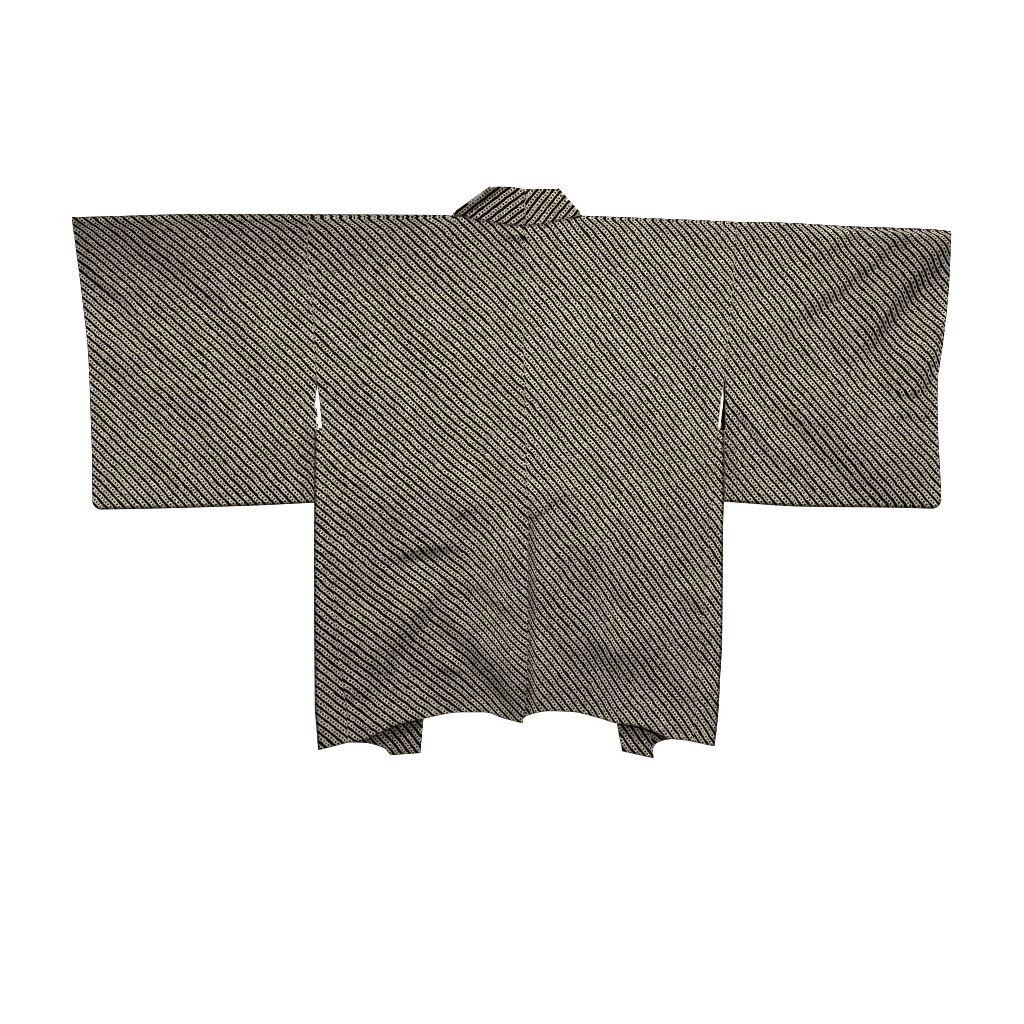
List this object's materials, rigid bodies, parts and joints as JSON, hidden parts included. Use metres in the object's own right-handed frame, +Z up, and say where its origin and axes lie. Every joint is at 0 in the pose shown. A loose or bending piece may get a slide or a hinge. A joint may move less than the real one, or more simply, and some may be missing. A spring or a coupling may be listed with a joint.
{
  "type": "haori jacket",
  "caption": "Lined silk haori with diagonal tie-dyed rows, laid out flat with its back up and its sleeves spread.",
  "frame": {"origin": "middle of the spread garment's outline, on the surface it lies on", "axes": "+X along the spread sleeves, towards the wearer's right sleeve; +Y along the back, towards the collar; +Z up, out of the back"},
  "size_m": [1.2795, 0.8319, 0.0114],
  "materials": {
    "shibori_silk": "soft crinkled silk with diagonal rows of small cream tie-dyed rings on a near-black ground",
    "lining_silk": "smooth plain cream silk with a soft sheen"
  },
  "bodies": {
    "root": {"body_left": "shibori_silk", "sleeve_left": "shibori_silk", "gusset_left": "shibori_silk", "collar_left": "shibori_silk", "lining_left": "lining_silk", "body_right": "shibori_silk", "sleeve_right": "shibori_silk", "gusset_right": "shibori_silk", "collar_right": "shibori_silk", "lining_right": "lining_silk"}
  },
  "joints": []
}
